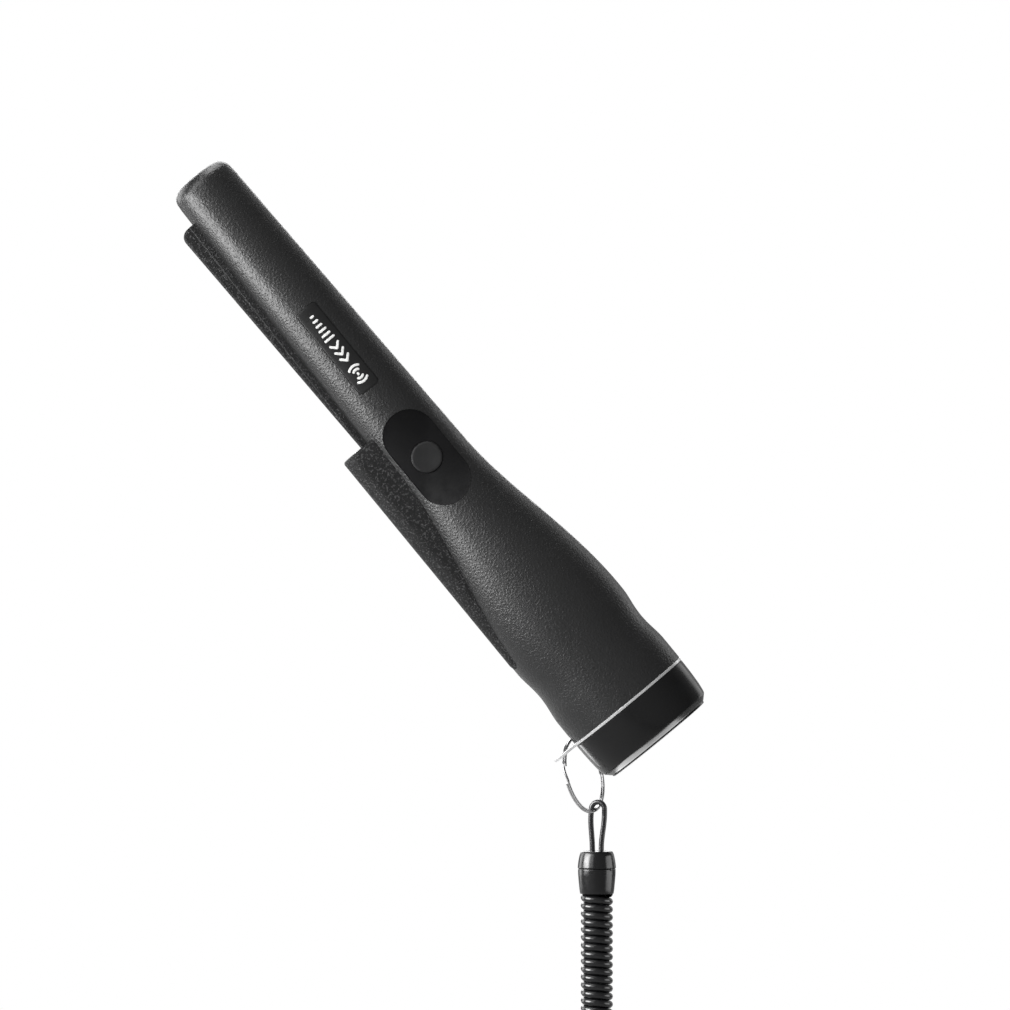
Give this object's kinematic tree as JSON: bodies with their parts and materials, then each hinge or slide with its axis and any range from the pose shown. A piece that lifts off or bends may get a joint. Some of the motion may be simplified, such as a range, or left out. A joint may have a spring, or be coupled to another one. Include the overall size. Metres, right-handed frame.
{
  "type": "pinpointer probe",
  "caption": "Hand-held metal pinpointer: a round search tube with a scraper rail that flares to an oval grip, with a pull-off battery cap, split ring and curly lanyard with a clasp.",
  "frame": {"origin": "on the probe's axis at the middle of the hand's hold, 160 mm from the tip", "axes": "+Z is true up as the probe is held, with its tip leaning 39.4 degrees towards -X; +Y runs from the button side to the speaker side"},
  "size_m": [0.1671, 0.0376, 0.384],
  "materials": {
    "shell_black": "fine leather grain, satin",
    "rail_black": "coarse spark texture, satin",
    "panel_black": "smooth satin",
    "button_rubber": "smooth matte",
    "gloss_black": "polished",
    "cord_black": "polished polyurethane",
    "strap_black": "braided nylon",
    "lens_clear": "clear polished",
    "led_white": "water-clear epoxy",
    "switch_body": "moulded",
    "switch_ivory": "moulded",
    "board_green": "solder mask",
    "component_black": "moulded epoxy",
    "chassis_grey": "moulded",
    "zinc_screw": "zinc plated",
    "foam_grey": "open foam",
    "ferrite": "sintered",
    "former_ivory": "moulded",
    "copper": "enamelled wire",
    "motor_steel": "drawn can",
    "speaker_brass": "disc",
    "battery_blue": "printed sleeve",
    "terminal_nickel": "nickel plated",
    "wire_red": "insulation",
    "wire_black": "insulation",
    "seal_black": "nitrile",
    "plate_steel": "brushed",
    "ring_nickel": "bright nickel",
    "clasp_nickel": "bright nickel"
  },
  "bodies": {
    "probe": {"body_shell": "shell_black", "scraper_rail": "rail_black", "label_panel": "panel_black", "thumb_bezel": "panel_black", "tact_switch": "switch_body", "led_lens": "lens_clear", "led": "led_white", "main_pcb": "board_green", "pcb_components": "component_black", "chassis": "chassis_grey", "board_screws": "zinc_screw", "bulkhead_screws": "zinc_screw", "tip_cushion": "foam_grey", "ferrite_rod": "ferrite", "coil_former": "former_ivory", "transmit_winding": "copper", "receive_windings": "copper", "vibration_motor": "motor_steel", "speaker": "speaker_brass", "speaker_gasket": "foam_grey", "battery": "battery_blue", "battery_terminals": "terminal_nickel", "battery_snap": "switch_body", "red_lead": "wire_red", "black_lead": "wire_black", "lanyard_plate": "plate_steel"},
    "button": {"power_button": "button_rubber"},
    "plunger": {"switch_plunger": "switch_ivory"},
    "rotor": {"motor_shaft": "motor_steel", "motor_weight": "motor_steel"},
    "cap": {"battery_cap": "gloss_black", "cap_gasket": "seal_black", "battery_cushion": "foam_grey"},
    "ring": {"split_ring": "ring_nickel"},
    "lanyard": {"strap_loop_top": "strap_black", "fitting_top_dome": "gloss_black", "fitting_top_sleeve": "gloss_black", "coil_cord": "cord_black", "fitting_bottom_sleeve": "gloss_black", "fitting_bottom_dome": "gloss_black", "strap_loop_bottom": "strap_black"},
    "swivel": {"swivel_eye": "clasp_nickel"},
    "clasp": {"clasp_body": "clasp_nickel", "gate_pin": "clasp_nickel", "gate_spring": "motor_steel"},
    "gate": {"clasp_gate": "clasp_nickel"}
  },
  "joints": [
    {"name": "button_press", "type": "slide", "parent": "probe", "child": "button", "axis": [0, 1, 0], "range_m": [0, 0.0008], "stiffness_N_per_m": 400, "springref_m": -0.003},
    {"name": "plunger_press", "type": "slide", "parent": "probe", "child": "plunger", "axis": [0, 1, 0], "range_m": [0, 0.0008]},
    {"name": "motor_spin", "type": "hinge", "parent": "probe", "child": "rotor", "pos_m": [-0.03808, 0.0072, 0.04636], "axis": [-0.6347, 0, 0.7727], "continuous": true},
    {"name": "cap_pull_off", "type": "slide", "parent": "probe", "child": "cap", "axis": [0.6347, 0, -0.7727], "range_m": [0, 0.03]},
    {"name": "ring_swing", "type": "hinge", "parent": "probe", "child": "ring", "pos_m": [0.01478, 0, -0.05832], "axis": [0.6986, 0.7155, 0], "range_deg": [-28, 0]},
    {"name": "strap_swing", "type": "hinge", "parent": "ring", "child": "lanyard", "pos_m": [0.02494, 0.01028, -0.07619], "axis": [0.3987, 0.9171, 0], "range_deg": [-60, 60]},
    {"name": "clasp_swing", "type": "hinge", "parent": "lanyard", "child": "swivel", "pos_m": [0.02494, 0.01028, -0.22499], "axis": [0.3987, 0.9171, 0], "range_deg": [-60, 60]},
    {"name": "clasp_turn", "type": "hinge", "parent": "swivel", "child": "clasp", "pos_m": [0.02494, 0.01028, -0.22819], "axis": [0, 0, 1], "continuous": true},
    {"name": "gate_open", "type": "hinge", "parent": "clasp", "child": "gate", "pos_m": [0.02292, 0.01116, -0.24059], "axis": [-0.3987, -0.9171, 0], "range_deg": [0, 38], "stiffness_Nm_per_rad": 0.01, "springref_deg": -17.19}
  ],
  "couplings": [
    {"joint": "plunger_press", "follows": "button_press", "ratio": 1}
  ]
}
